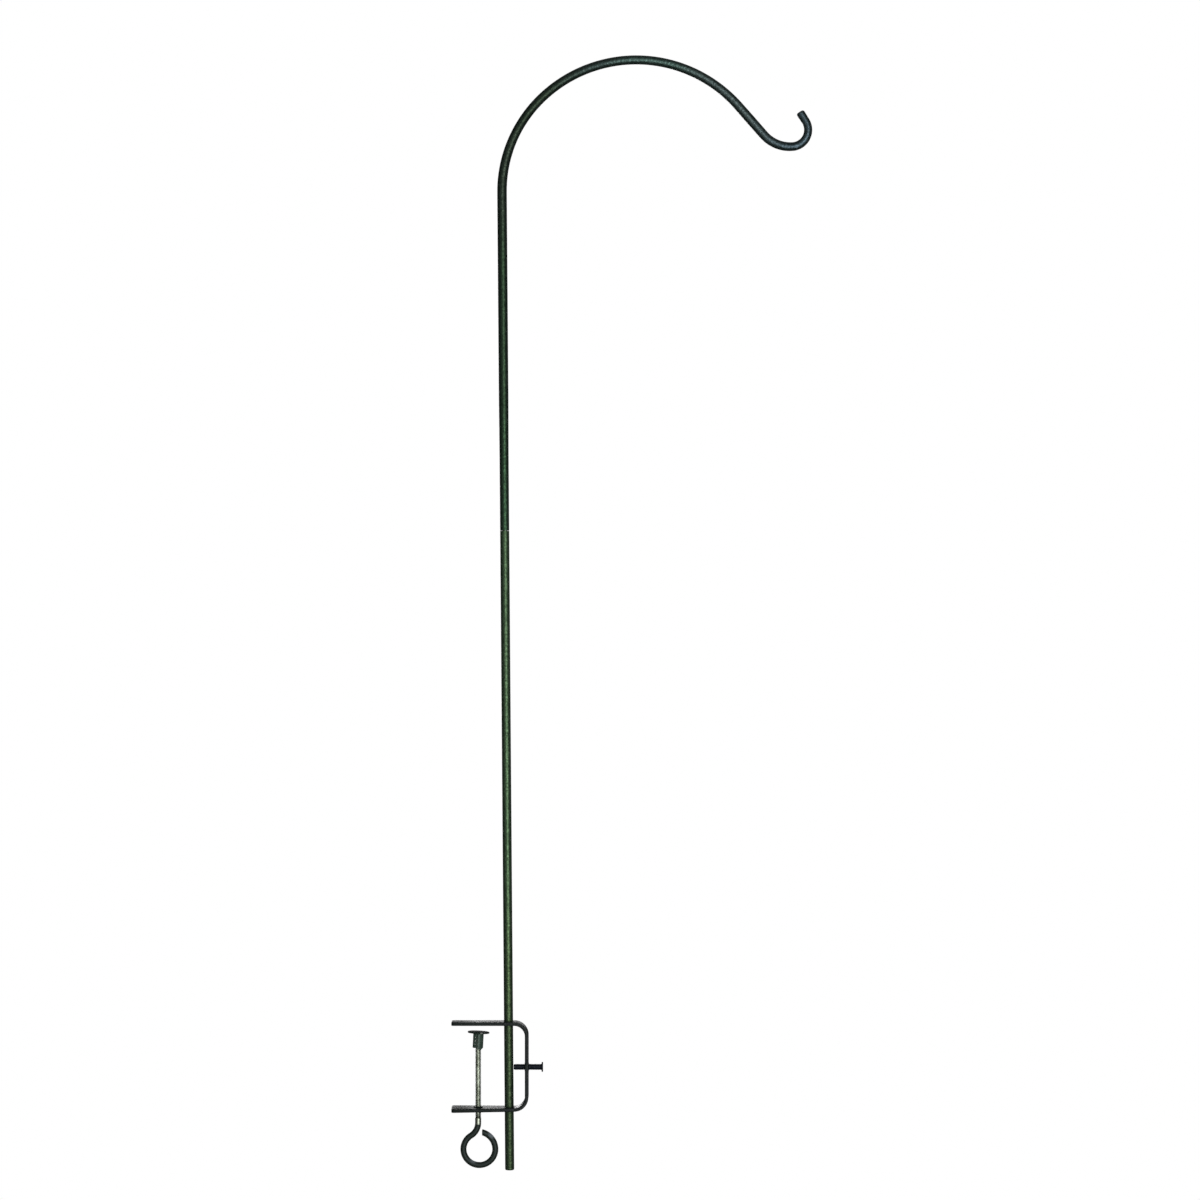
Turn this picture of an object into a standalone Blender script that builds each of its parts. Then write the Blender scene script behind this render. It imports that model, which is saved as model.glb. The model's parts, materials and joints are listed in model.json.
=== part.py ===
"""Deck hook: a bent steel crook on a two-piece pole, carried by a flat-bar rail clamp.

Frame: the origin is on the underside of the upper arm, over the clamp screw and in the middle
of the bar's width. +X runs from the jaw's mouth to its back, +Y into the bar, +Z up.
Lengths are in metres and angles in radians.
"""

import math

import bmesh
import bpy
from mathutils import Matrix, Vector

# Fits shared by the whole assembly
touch_gap = 0.0003
cut_overrun = 0.002

# Clamp bracket: one flat bar, bent twice into a C
bar_width = 0.0254
bar_thickness = 0.0037
bar_edge_round = 0.0007
bar_bend_radius = 0.0113
bar_corner_round = 0.0030
arm_reach = 0.0278
back_distance = 0.0491
jaw_height = 0.0861

# Holes through the bracket: two plain ones for the pole, two drawn and tapped for the screws
pole_hole_clearance = 0.0008
collar_wall = 0.0011
collar_height = 0.0010
collar_flare = 0.0008

# Pole: a round bar in two sections on a hidden stud, leaning a little in its loose holes
pole_diameter = 0.009525
pole_offset = 0.0322
pole_lean = math.radians(0.45)
foot_drop = 0.0624
lower_section_length = 0.6698
bar_end_chamfer = 0.0016
joint_chamfer = 0.0002
stud_diameter = 0.0048
stud_length = 0.0300
stud_chamfer = 0.0005

# Crook: the upper section, bent over formers of four radii
upper_straight_length = 0.3548
shoulder_radius = 0.1352
shoulder_bend = math.radians(44.75)
crown_radius = 0.1428
crown_bend = math.radians(94.4)
slope_length = 0.0398
sweep_radius = 0.0367
sweep_bend = math.radians(53.4)
hook_radius = 0.0175
hook_bend = math.radians(118.0)
tip_length = 0.0103
tip_round = 0.0018

# Clamp screw: a rod threaded at the top, its lower end bent into an eye that opens a little
screw_diameter = 0.00635
screw_chamfer = 0.0008
neck_drop = 0.0128
neck_radius = 0.0158
eye_radius = 0.0167
eye_offset = 0.0013
eye_open_radius = 0.0184
eye_open_bend = math.radians(64.6)
eye_mouth = math.radians(19.7)
eye_end_chamfer = 0.0004

# Pressure pad: a round plate on a hub, in a sleeve rolled from sheet
pad_drop = 0.0070
pad_diameter = 0.0227
pad_thickness = 0.0016
pad_edge_round = 0.0004
pad_tilt = math.radians(3.0)
hub_length = 0.0030
sleeve_wall = 0.0016
sleeve_length = 0.0158
sleeve_edge_round = 0.0003
sleeve_seam = 0.0006
seam_direction = math.radians(-95.0)

# Thumb screw: a short screw with a flat round head
thumb_drop = 0.0441
thumb_reach = 0.0137
thumb_head_diameter = 0.0104
thumb_head_thickness = 0.0015
thumb_head_round = 0.0003
thumb_chamfer = 0.0006

# Facets
round_sides = 24
hole_sides = 32
bend_step = math.radians(6.5)
eye_step = math.radians(12.0)
bar_bend_steps = 8
corner_steps = 4
edge_steps = 3
smooth_angle = math.radians(35.0)

# Sizes that follow from the ones above
pole_radius = pole_diameter / 2
pole_hole_radius = pole_radius + pole_hole_clearance
screw_radius = screw_diameter / 2
tapped_radius = screw_radius + touch_gap
stud_radius = stud_diameter / 2
stud_bore_radius = stud_radius + touch_gap
stud_bore_depth = stud_length / 2
lower_arm_underside = -jaw_height - bar_thickness
jaw_middle = -jaw_height / 2
foot_height = lower_arm_underside - foot_drop - jaw_middle
joint_height = foot_height + lower_section_length
pad_radius = pad_diameter / 2
pad_pivot_drop = pad_drop + pad_thickness + touch_gap + sleeve_length / 2
sleeve_bore_radius = screw_radius + touch_gap + sleeve_length / 2 * math.sin(pad_tilt)
hub_radius = sleeve_bore_radius - touch_gap
screw_end_drop = pad_drop + pad_thickness + hub_length + hub_radius * math.sin(pad_tilt) + touch_gap
neck_start = lower_arm_underside - neck_drop


def clear_scene():
    """Take out whatever the file holds, so that the model stands alone."""
    for old in list(bpy.data.objects):
        bpy.data.objects.remove(old, do_unlink=True)


def finish_material(name, colour, roughness, metallic):
    """A plain Principled BSDF with the piece's own colour, roughness and metallic value."""
    material = bpy.data.materials.new(name)
    material.use_nodes = True
    shader = material.node_tree.nodes["Principled BSDF"]
    shader.inputs["Base Color"].default_value = (*colour, 1.0)
    shader.inputs["Roughness"].default_value = roughness
    shader.inputs["Metallic"].default_value = metallic
    return material


def add_object(name, bm, material, parent=None):
    """Close the mesh up, turn its faces outward, shade it and put it in the scene."""
    bmesh.ops.recalc_face_normals(bm, faces=bm.faces)
    mesh = bpy.data.meshes.new(name)
    bm.to_mesh(mesh)
    bm.free()
    mesh.shade_smooth()
    mesh.set_sharp_from_angle(angle=smooth_angle)
    mesh.materials.append(material)
    piece = bpy.data.objects.new(name, mesh)
    piece.parent = parent
    bpy.context.scene.collection.objects.link(piece)
    return piece


def add_pivot(name, place, turn_about_y=0.0):
    """An empty that carries the pieces of one axis."""
    pivot = bpy.data.objects.new(name, None)
    pivot.location = place
    pivot.rotation_euler = (0.0, turn_about_y, 0.0)
    bpy.context.scene.collection.objects.link(pivot)
    return pivot


def edges_of(geometry):
    """The edges among what a bmesh operator returned."""
    return [item for item in geometry if isinstance(item, bmesh.types.BMEdge)]


def verts_of(edges):
    """The corners of a set of edges, each once."""
    return list({vert for edge in edges for vert in edge.verts})


def ring(bm, points):
    """A closed loop of edges through the points."""
    corners = [bm.verts.new(point) for point in points]
    pairs = zip(corners, corners[1:] + corners[:1])
    return [bm.edges.new(pair) for pair in pairs]


def round_section(radius):
    """The points of a round bar's section, in the XY plane."""
    angles = [2 * math.pi * k / round_sides for k in range(round_sides)]
    return [Vector((radius * math.cos(a), radius * math.sin(a), 0.0)) for a in angles]


def flat_section(thickness, width, edge_round):
    """The points of a flat bar's section with rounded edges: thickness along X, width along Y."""
    points = []
    quarter = math.pi / 2
    corners = ((1, 1, 0), (-1, 1, 1), (-1, -1, 2), (1, -1, 3))
    for side_x, side_y, turn in corners:
        middle = Vector((side_x * (thickness / 2 - edge_round), side_y * (width / 2 - edge_round), 0.0))
        for k in range(edge_steps + 1):
            angle = quarter * (turn + k / edge_steps)
            points.append(middle + Vector((math.cos(angle), math.sin(angle), 0.0)) * edge_round)
    return points


def run_bar(bm, edges, heading, length):
    """Extrude the bar's open end straight on."""
    grown = edges_of(bmesh.ops.extrude_edge_only(bm, edges=edges)["geom"])
    bmesh.ops.translate(bm, verts=verts_of(grown), vec=heading * length)
    return grown


def bend_bar(bm, section, start, heading, moves, step):
    """Run and bend a bar in the XZ plane, as it is pushed through a bender.

    A move is a length to run, or a pair of former radius and angle, positive about +Y.
    Returns the edges of the first and the last section.
    """
    turn = Vector((0.0, 0.0, 1.0)).rotation_difference(heading).to_matrix()
    first = ring(bm, [start + turn @ point for point in section])
    last = first
    place = start.copy()
    for move in moves:
        if isinstance(move, float):
            last = run_bar(bm, last, heading, move)
            place = place + heading * move
            continue
        radius, angle = move
        side = Vector((0.0, 1.0, 0.0)).cross(heading) * math.copysign(radius, angle)
        centre = place + side
        spun = bmesh.ops.spin(
            bm,
            geom=last,
            cent=centre,
            axis=(0.0, 1.0, 0.0),
            angle=angle,
            steps=max(2, math.ceil(abs(angle) / step)),
        )
        last = edges_of(spun["geom_last"])
        rotation = Matrix.Rotation(angle, 3, "Y")
        place = centre + rotation @ (place - centre)
        heading = rotation @ heading
    return first, last


def cap(bm, edges):
    """Close a bar's end with one flat face."""
    return bmesh.ops.contextual_create(bm, geom=edges)["faces"][0]


def round_rim(bm, face, size, steps):
    """Round or chamfer the rim of an end face, and give the face that is left."""
    normal = face.normal.copy()
    centre = face.calc_center_median()
    bmesh.ops.bevel(
        bm,
        geom=list(face.edges),
        offset=size,
        offset_type="OFFSET",
        segments=steps,
        profile=0.5,
        affect="EDGES",
    )
    bm.normal_update()
    flat = [f for f in bm.faces if f.normal.dot(normal) > math.cos(smooth_angle / 2)]
    return min(flat, key=lambda f: (f.calc_center_median() - centre).length)


def blind_bore(bm, face, radius, bore_radius, depth):
    """Inset an end face to the bore's size and push the middle in."""
    inward = -face.normal.copy()
    centre = face.calc_center_median()
    grown = bmesh.ops.inset_individual(bm, faces=[face], thickness=radius - bore_radius)
    middle = face if face.is_valid else grown["faces"][0]
    for vert in middle.verts:
        offset = vert.co - centre
        vert.co = centre + offset.normalized() * bore_radius
    pushed = bmesh.ops.extrude_discrete_faces(bm, faces=[middle])["faces"][0]
    bmesh.ops.translate(bm, verts=list(pushed.verts), vec=inward * depth)


def turned(profile, sides, start_angle=0.0, sweep=2 * math.pi):
    """A solid turned about Z from a closed profile of (radius, height) points.

    Each flat end is one face. A sweep of less than a full turn leaves a straight seam, closed by
    a face on each side.
    """
    bm = bmesh.new()
    whole = sweep >= 2 * math.pi
    spin_start = Matrix.Rotation(start_angle, 3, "Z")
    points = [spin_start @ Vector((radius, 0.0, height)) for radius, height in profile]
    outline = ring(bm, points)
    core = [edge for edge in outline if not any(vert.co.xy.length for vert in edge.verts)]
    bmesh.ops.delete(bm, geom=core, context="EDGES_FACES")
    outline = list(bm.edges)
    spun = bmesh.ops.spin(
        bm,
        geom=outline,
        cent=(0.0, 0.0, 0.0),
        axis=(0.0, 0.0, 1.0),
        angle=sweep,
        steps=sides,
        use_merge=whole,
    )
    if whole:
        bmesh.ops.remove_doubles(bm, verts=bm.verts, dist=touch_gap / 10)
        bmesh.ops.dissolve_verts(bm, verts=[vert for vert in bm.verts if not vert.co.xy.length])
    else:
        cap(bm, outline)
        cap(bm, edges_of(spun["geom_last"]))
    return bm


def cutter(name, bm, place, direction):
    """A guide body for a Boolean: it shapes other pieces and isn't one itself."""
    mesh = bpy.data.meshes.new(name)
    bmesh.ops.recalc_face_normals(bm, faces=bm.faces)
    bm.to_mesh(mesh)
    bm.free()
    body = bpy.data.objects.new(name, mesh)
    body.location = place
    body.rotation_euler = Vector(direction).to_track_quat("Z", "Y").to_euler()
    body.display_type = "WIRE"
    body.hide_render = True
    bpy.context.scene.collection.objects.link(body)
    return body


def shape_with(piece, body, operation):
    """Join a guide body to a piece, or cut it away."""
    change = piece.modifiers.new(body.name, "BOOLEAN")
    change.operation = operation
    change.solver = "EXACT"
    change.object = body


def rod_profile(radius, length):
    """A plain cylinder's profile from the axis outward."""
    return [(0.0, -length / 2), (radius, -length / 2), (radius, length / 2), (0.0, length / 2)]


def collar_profile():
    """The swelling that drawing a tapped hole leaves on both faces of the bar."""
    rim = tapped_radius + collar_wall
    crest = bar_thickness / 2 + collar_height
    waist = rim + collar_flare * crest / collar_height
    return [(0.0, -crest), (rim, -crest), (waist, 0.0), (rim, crest), (0.0, crest)]


def make_bracket(material):
    """Bend the flat bar into a C, round its ends, then draw and cut its holes."""
    bm = bmesh.new()
    section = flat_section(bar_thickness, bar_width, bar_edge_round)
    bend = (bar_bend_radius + bar_thickness / 2, math.pi / 2)
    arm_run = arm_reach - bar_corner_round + back_distance - bar_bend_radius
    back_run = jaw_height - 2 * bar_bend_radius
    first, last = bend_bar(
        bm,
        section,
        Vector((bar_corner_round - arm_reach, 0.0, bar_thickness / 2)),
        Vector((1.0, 0.0, 0.0)),
        [arm_run, bend, back_run, bend, arm_run],
        math.pi / 2 / bar_bend_steps,
    )
    outward = Vector((-1.0, 0.0, 0.0))
    for end in (first, last):
        reached = 0.0
        width = bar_width
        for k in range(1, corner_steps + 1):
            angle = math.pi / 2 * k / corner_steps
            target = bar_corner_round * math.sin(angle)
            narrowed = bar_width - 2 * bar_corner_round * (1 - math.cos(angle))
            end = run_bar(bm, end, outward, target - reached)
            bmesh.ops.scale(bm, verts=verts_of(end), vec=(1.0, narrowed / width, 1.0))
            reached = target
            width = narrowed
        cap(bm, end)
    bracket = add_object("clamp_bracket", bm, material)

    tapped = (
        ("screw_hole", Vector((0.0, 0.0, lower_arm_underside + bar_thickness / 2)), (0.0, 0.0, 1.0)),
        ("thumb_hole", Vector((back_distance + bar_thickness / 2, 0.0, -thumb_drop)), (1.0, 0.0, 0.0)),
    )
    for name, place, direction in tapped:
        collar = cutter(name + "_collar", turned(collar_profile(), hole_sides), place, direction)
        shape_with(bracket, collar, "UNION")
    through = bar_thickness + 2 * collar_height + 2 * cut_overrun
    half_side = math.pi / hole_sides
    for name, place, direction in tapped:
        bore = cutter(name, turned(rod_profile(tapped_radius, through), hole_sides, half_side), place, direction)
        shape_with(bracket, bore, "DIFFERENCE")
    through = jaw_height + 2 * bar_thickness + 2 * cut_overrun
    place = Vector((pole_offset, 0.0, jaw_middle))
    bore = cutter("pole_holes", turned(rod_profile(pole_hole_radius, through), hole_sides), place, (0.0, 0.0, 1.0))
    shape_with(bracket, bore, "DIFFERENCE")
    return bracket


def make_lower_pole(material, pole_axis):
    """The lower section: a turned bar, chamfered at the foot and bored at the top for the stud."""
    foot = foot_height
    top = joint_height
    profile = [
        (0.0, foot),
        (pole_radius - bar_end_chamfer, foot),
        (pole_radius, foot + bar_end_chamfer),
        (pole_radius, top - joint_chamfer),
        (pole_radius - joint_chamfer, top),
        (stud_bore_radius, top),
        (stud_bore_radius, top - stud_bore_depth),
        (0.0, top - stud_bore_depth),
    ]
    return add_object("lower_pole", turned(profile, round_sides), material, pole_axis)


def make_stud(material, pole_axis):
    """The stud that joins the two sections, half in each."""
    middle = joint_height + touch_gap / 2
    half = stud_length / 2 - touch_gap
    profile = [
        (0.0, middle - half),
        (stud_radius - stud_chamfer, middle - half),
        (stud_radius, middle - half + stud_chamfer),
        (stud_radius, middle + half - stud_chamfer),
        (stud_radius - stud_chamfer, middle + half),
        (0.0, middle + half),
    ]
    return add_object("joint_stud", turned(profile, round_sides), material, pole_axis)


def make_crook(material, pole_axis):
    """The upper section: straight out of the joint, over the crown and down into the hook."""
    bm = bmesh.new()
    first, last = bend_bar(
        bm,
        round_section(pole_radius),
        Vector((0.0, 0.0, joint_height + touch_gap)),
        Vector((0.0, 0.0, 1.0)),
        [
            upper_straight_length,
            (shoulder_radius, shoulder_bend),
            (crown_radius, crown_bend),
            slope_length,
            (sweep_radius, -sweep_bend),
            (hook_radius, -hook_bend),
            tip_length,
        ],
        bend_step,
    )
    foot = cap(bm, first)
    tip = cap(bm, last)
    bmesh.ops.recalc_face_normals(bm, faces=bm.faces)
    round_rim(bm, tip, tip_round, edge_steps)
    foot = min(bm.faces, key=lambda f: f.calc_center_median().z)
    foot = round_rim(bm, foot, joint_chamfer, 1)
    blind_bore(bm, foot, pole_radius - joint_chamfer, stud_bore_radius, stud_bore_depth)
    return add_object("crook", bm, material, pole_axis)


def make_eye_screw(material, screw_axis):
    """The clamp screw: a rod from inside the pad's sleeve down to a bent eye."""
    lean_in = math.acos((eye_offset + neck_radius) / (neck_radius + eye_radius))
    round_the_eye = math.radians(270.0) + lean_in - eye_mouth
    bm = bmesh.new()
    first, last = bend_bar(
        bm,
        round_section(screw_radius),
        Vector((0.0, 0.0, -screw_end_drop)),
        Vector((0.0, 0.0, -1.0)),
        [
            -neck_start - screw_end_drop,
            (neck_radius, lean_in),
            (eye_radius, eye_open_bend - round_the_eye),
            (eye_open_radius, -eye_open_bend),
        ],
        eye_step,
    )
    top = cap(bm, first)
    end = cap(bm, last)
    bmesh.ops.recalc_face_normals(bm, faces=bm.faces)
    round_rim(bm, end, eye_end_chamfer, 1)
    top = max(bm.faces, key=lambda f: f.calc_center_median().z)
    round_rim(bm, top, screw_chamfer, 1)
    return add_object("eye_screw", bm, material, screw_axis)


def make_pad(material, pad_pivot):
    """The plate that meets the rail, with the hub that plugs its sleeve."""
    face = pad_pivot_drop - pad_drop
    underside = face - pad_thickness
    profile = [
        (0.0, face),
        (pad_radius - pad_edge_round, face),
        (pad_radius, face - pad_edge_round),
        (pad_radius, underside + pad_edge_round),
        (pad_radius - pad_edge_round, underside),
        (hub_radius, underside),
        (hub_radius, underside - hub_length),
        (0.0, underside - hub_length),
    ]
    return add_object("pressure_pad", turned(profile, hole_sides), material, pad_pivot)


def make_sleeve(material, pad_pivot):
    """The sleeve under the plate: sheet rolled round the screw's end, its edges not quite meeting."""
    top = sleeve_length / 2
    outer = sleeve_bore_radius + sleeve_wall
    profile = [
        (sleeve_bore_radius, -top),
        (outer - sleeve_edge_round, -top),
        (outer, -top + sleeve_edge_round),
        (outer, top),
        (sleeve_bore_radius, top),
    ]
    opening = sleeve_seam / outer
    rolled = turned(profile, hole_sides, seam_direction + opening / 2, 2 * math.pi - opening)
    return add_object("swivel_sleeve", rolled, material, pad_pivot)


def make_thumb_screw(material, thumb_axis):
    """The screw that presses on the pole: a plain end, a shank and a flat round head."""
    tip = pole_radius / math.cos(pole_lean) + touch_gap
    head = back_distance - pole_offset + bar_thickness + thumb_reach
    head_radius = thumb_head_diameter / 2
    back = head + thumb_head_thickness
    profile = [
        (0.0, tip),
        (screw_radius - thumb_chamfer, tip),
        (screw_radius, tip + thumb_chamfer),
        (screw_radius, head),
        (head_radius - thumb_head_round, head),
        (head_radius, head + thumb_head_round),
        (head_radius, back - thumb_head_round),
        (head_radius - thumb_head_round, back),
        (0.0, back),
    ]
    return add_object("thumb_screw", turned(profile, round_sides), material, thumb_axis)


def main():
    """Build the whole deck hook."""
    clear_scene()
    pole_paint = finish_material("pole_paint", (0.020, 0.034, 0.026), 0.42, 0.0)
    bracket_paint = finish_material("bracket_paint", (0.020, 0.030, 0.025), 0.40, 0.0)
    pad_paint = finish_material("pad_paint", (0.026, 0.046, 0.038), 0.45, 0.0)
    thumb_paint = finish_material("thumb_paint", (0.018, 0.022, 0.026), 0.35, 0.0)
    zinc = finish_material("zinc", (0.62, 0.63, 0.58), 0.30, 1.0)
    plain_steel = finish_material("plain_steel", (0.45, 0.45, 0.45), 0.35, 1.0)

    pole_axis = add_pivot("pole_axis", (pole_offset, 0.0, jaw_middle), -pole_lean)
    screw_axis = add_pivot("screw_axis", (0.0, 0.0, 0.0))
    pad_pivot = add_pivot("pad_pivot", (0.0, 0.0, -pad_pivot_drop), pad_tilt)
    thumb_axis = add_pivot("thumb_axis", (pole_offset, 0.0, -thumb_drop), math.pi / 2)

    make_bracket(bracket_paint)
    make_lower_pole(pole_paint, pole_axis)
    make_stud(plain_steel, pole_axis)
    make_crook(pole_paint, pole_axis)
    make_eye_screw(zinc, screw_axis)
    make_pad(pad_paint, pad_pivot)
    make_sleeve(pad_paint, pad_pivot)
    make_thumb_screw(thumb_paint, thumb_axis)


main()
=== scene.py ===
# %% [markdown]
# # A clamp-on deck hook
#
# A deck hook holds a hanging basket clear of a deck. A round steel bar, bent over at the top into
# a crook, stands in a C-shaped clamp that grips the rail. The solids of the hook are already
# made, and this lesson dresses them: it lights them, paints them, and makes again the pieces
# whose fine form a plain solid leaves out, such as the screw threads. All lengths are in metres.

# %% Load the solids and their record
import json
import math

import bmesh
import bpy
from mathutils import Matrix, Vector


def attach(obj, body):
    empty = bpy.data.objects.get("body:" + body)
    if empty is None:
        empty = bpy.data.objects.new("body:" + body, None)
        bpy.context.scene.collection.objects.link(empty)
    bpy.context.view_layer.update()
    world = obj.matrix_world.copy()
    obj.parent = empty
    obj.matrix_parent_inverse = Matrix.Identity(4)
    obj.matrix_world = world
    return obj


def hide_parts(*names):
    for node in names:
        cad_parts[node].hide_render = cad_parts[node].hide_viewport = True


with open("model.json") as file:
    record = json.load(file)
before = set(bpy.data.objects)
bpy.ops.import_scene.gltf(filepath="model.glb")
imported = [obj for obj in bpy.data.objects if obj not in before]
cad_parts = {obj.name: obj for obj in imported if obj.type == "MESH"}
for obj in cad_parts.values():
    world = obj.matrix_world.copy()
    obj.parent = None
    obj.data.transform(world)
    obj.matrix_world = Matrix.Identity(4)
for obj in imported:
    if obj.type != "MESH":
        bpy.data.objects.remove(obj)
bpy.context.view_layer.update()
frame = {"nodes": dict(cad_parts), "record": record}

print("solids:", ", ".join(sorted(frame["nodes"])))

# %% [markdown]
# ## Helpers for node trees
#
# Materials, lights and geometry are all built from nodes here. A node could be added, set and
# linked line by line, but a dozen such lines hide one idea, so a single helper takes the node's
# settings and its inputs together. An input is either a value or the output of another node.

# %% Add a node, or one step of arithmetic
def fill(tree, node, inputs):
    """Give a node's inputs their values, or link them to other nodes' outputs."""
    for key, value in inputs.items():
        if isinstance(value, bpy.types.NodeSocket):
            tree.links.new(value, node.inputs[key])
        else:
            node.inputs[key].default_value = value


def add_node(tree, kind, inputs=None, **settings):
    """Add a node with its settings, and fill its inputs."""
    made = tree.nodes.new(kind)
    for key, value in settings.items():
        setattr(made, key, value)
    fill(tree, made, inputs or {})
    return made


def calc(tree, operation, *values):
    """One step of arithmetic on values or outputs, and its result."""
    return add_node(tree, "ShaderNodeMath", dict(enumerate(values)), operation=operation).outputs[0]


# %% [markdown]
# ## A white room
#
# The hook is shown on plain white, with no wall or shadow behind it. White could come from strong
# lamps, but they would also wash out the dark paint. So the room is white only to rays that look
# at it, straight from the camera or by way of something glossy or clear. To the rays that light
# a surface it is a dim, slightly cool grey.

# %% The world
def sees_background(tree):
    """1 for a ray that should meet the white background, and 0 for one that gathers light."""
    path = add_node(tree, "ShaderNodeLightPath").outputs
    seen = calc(tree, "MAXIMUM", path["Is Camera Ray"], path["Is Glossy Ray"])
    return calc(tree, "MAXIMUM", seen, path["Is Transmission Ray"])


room_tone = (0.22, 0.235, 0.25, 1.0)
white = (1.0, 1.0, 1.0, 1.0)

room = bpy.data.worlds.new("white_room")
room.use_nodes = True
tree = room.node_tree
tree.nodes.clear()
dim = add_node(tree, "ShaderNodeBackground", {"Color": room_tone, "Strength": 1.0}).outputs[0]
bright = add_node(tree, "ShaderNodeBackground", {"Color": white, "Strength": 1.0}).outputs[0]
mixed = add_node(tree, "ShaderNodeMixShader", {0: sees_background(tree), 1: dim, 2: bright}).outputs[0]
add_node(tree, "ShaderNodeOutputWorld", {"Surface": mixed})
bpy.context.scene.world = room
bpy.context.scene.view_settings.view_transform = "Standard"
print("the room lights the hook with", room_tone[:3])

# %% [markdown]
# ## The deck far below
#
# The hook is clamped to a rail, so the floor lies a rail's height below it, lower than the pole
# reaches when it is let right down. A sheet that runs to the horizon would show an edge or a grey
# band. This one is a round of pale paper that takes the hook's soft shadow in the middle and
# fades into the white of the room before its rim. To rays that look at it, it glows a little, so
# that it stays pale in the plain light. Seen from below it is clear.

# %% The floor's paper
floor_height = -1.06
floor_radius, floor_sides = 3.4, 96
fade_start, fade_end = 0.3 * floor_radius, 0.9 * floor_radius
floor_tone = (0.86, 0.86, 0.85, 1.0)
floor_glow = 0.42

paper = bpy.data.materials.new("floor_paper")
paper.use_nodes = True
tree = paper.node_tree
tree.nodes.clear()
place = add_node(tree, "ShaderNodeTexCoord").outputs["Object"]
reach = add_node(tree, "ShaderNodeVectorMath", {0: place}, operation="LENGTH").outputs["Value"]
fade = add_node(
    tree,
    "ShaderNodeMapRange",
    {"Value": reach, "From Min": fade_start, "From Max": fade_end},
    interpolation_type="SMOOTHSTEP",
).outputs[0]
seen = sees_background(tree)
faded = calc(tree, "MULTIPLY", fade, seen)
hidden = calc(tree, "MULTIPLY", add_node(tree, "ShaderNodeNewGeometry").outputs["Backfacing"], seen)
shine = {"Color": white, "Strength": calc(tree, "MULTIPLY", seen, floor_glow)}
matt = add_node(tree, "ShaderNodeBsdfDiffuse", {"Color": floor_tone}).outputs[0]
glow = add_node(tree, "ShaderNodeEmission", shine).outputs[0]
lifted = add_node(tree, "ShaderNodeAddShader", {0: matt, 1: glow}).outputs[0]
plain = add_node(tree, "ShaderNodeEmission", {"Color": white, "Strength": 1.0}).outputs[0]
above = add_node(tree, "ShaderNodeMixShader", {0: faded, 1: lifted, 2: plain}).outputs[0]
clear = add_node(tree, "ShaderNodeBsdfTransparent").outputs[0]
shown = add_node(tree, "ShaderNodeMixShader", {0: hidden, 1: above, 2: clear}).outputs[0]
add_node(tree, "ShaderNodeOutputMaterial", {"Surface": shown})
print(f"the paper fades from {fade_start:.2f} m to {fade_end:.2f} m")

# %% The floor
bm = bmesh.new()
bmesh.ops.create_circle(bm, cap_ends=True, radius=floor_radius, segments=floor_sides)
bmesh.ops.translate(bm, verts=bm.verts, vec=(0.0, 0.0, floor_height))
floor_mesh = bpy.data.meshes.new("floor")
bm.to_mesh(floor_mesh)
bm.free()
floor_mesh.materials.append(paper)
floor = bpy.data.objects.new("floor", floor_mesh)
bpy.context.scene.collection.objects.link(floor)
print("floor faces up:", floor_mesh.polygons[0].normal.z > 0, "at", floor_height)

# %% [markdown]
# ## Soft light with dark sides
#
# On the real bar a soft band of light runs a little right of the middle, and both edges stay
# almost black. The band is a large softbox in front and to the right. The dark edges come from
# what stands at the sides: a photographer puts up cards there, and so does this room. The cards
# stand all round and are seen by glossy rays only, so they shade the reflections and take no
# light away. The far side has one gap, low in the middle, through which the upper faces of the
# clamp's arms reflect the white of the room. Two weaker softboxes, behind and above, serve when
# the hook is seen from the back.

# %% Softboxes
aim = Vector((0.16, 0.0, 0.43))


def softbox(name, place, width, height, radiance):
    """A rectangular lamp that faces the hook. Its power follows from how bright its face looks."""
    lamp = bpy.data.lights.new(name, "AREA")
    lamp.shape = "RECTANGLE"
    lamp.size = width
    lamp.size_y = height
    lamp.energy = radiance * math.pi * width * height
    box = bpy.data.objects.new(name, lamp)
    box.location = place
    box.rotation_euler = (aim - Vector(place)).to_track_quat("-Z", "Y").to_euler()
    box.visible_camera = False
    bpy.context.scene.collection.objects.link(box)
    print(f"{name}: {lamp.energy:.0f} W")


softbox("front_softbox", (1.27, -4.40, 0.20), 2.1, 3.2, 6.5)
softbox("back_softbox", (-1.10, 4.40, 0.70), 1.8, 3.0, 4.0)
softbox("top_softbox", (0.30, 0.60, 3.60), 2.4, 2.4, 1.2)

# %% Cards that only reflections see
def card(name, corners, tone):
    """A grey card: an even face of one tone, met by glossy rays and by no others."""
    grey = bpy.data.materials.new(name)
    grey.use_nodes = True
    grey.node_tree.nodes.clear()
    shine = {"Color": (tone, tone, tone, 1.0), "Strength": 1.0}
    face = add_node(grey.node_tree, "ShaderNodeEmission", shine).outputs[0]
    add_node(grey.node_tree, "ShaderNodeOutputMaterial", {"Surface": face})
    mesh = bpy.data.meshes.new(name)
    mesh.from_pydata(corners, [], [range(len(corners))])
    mesh.materials.append(grey)
    sheet = bpy.data.objects.new(name, mesh)
    sheet.visible_camera = False
    sheet.visible_diffuse = False
    sheet.visible_transmission = False
    sheet.visible_shadow = False
    bpy.context.scene.collection.objects.link(sheet)
    print(f"{name}: tone {tone}")


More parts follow.
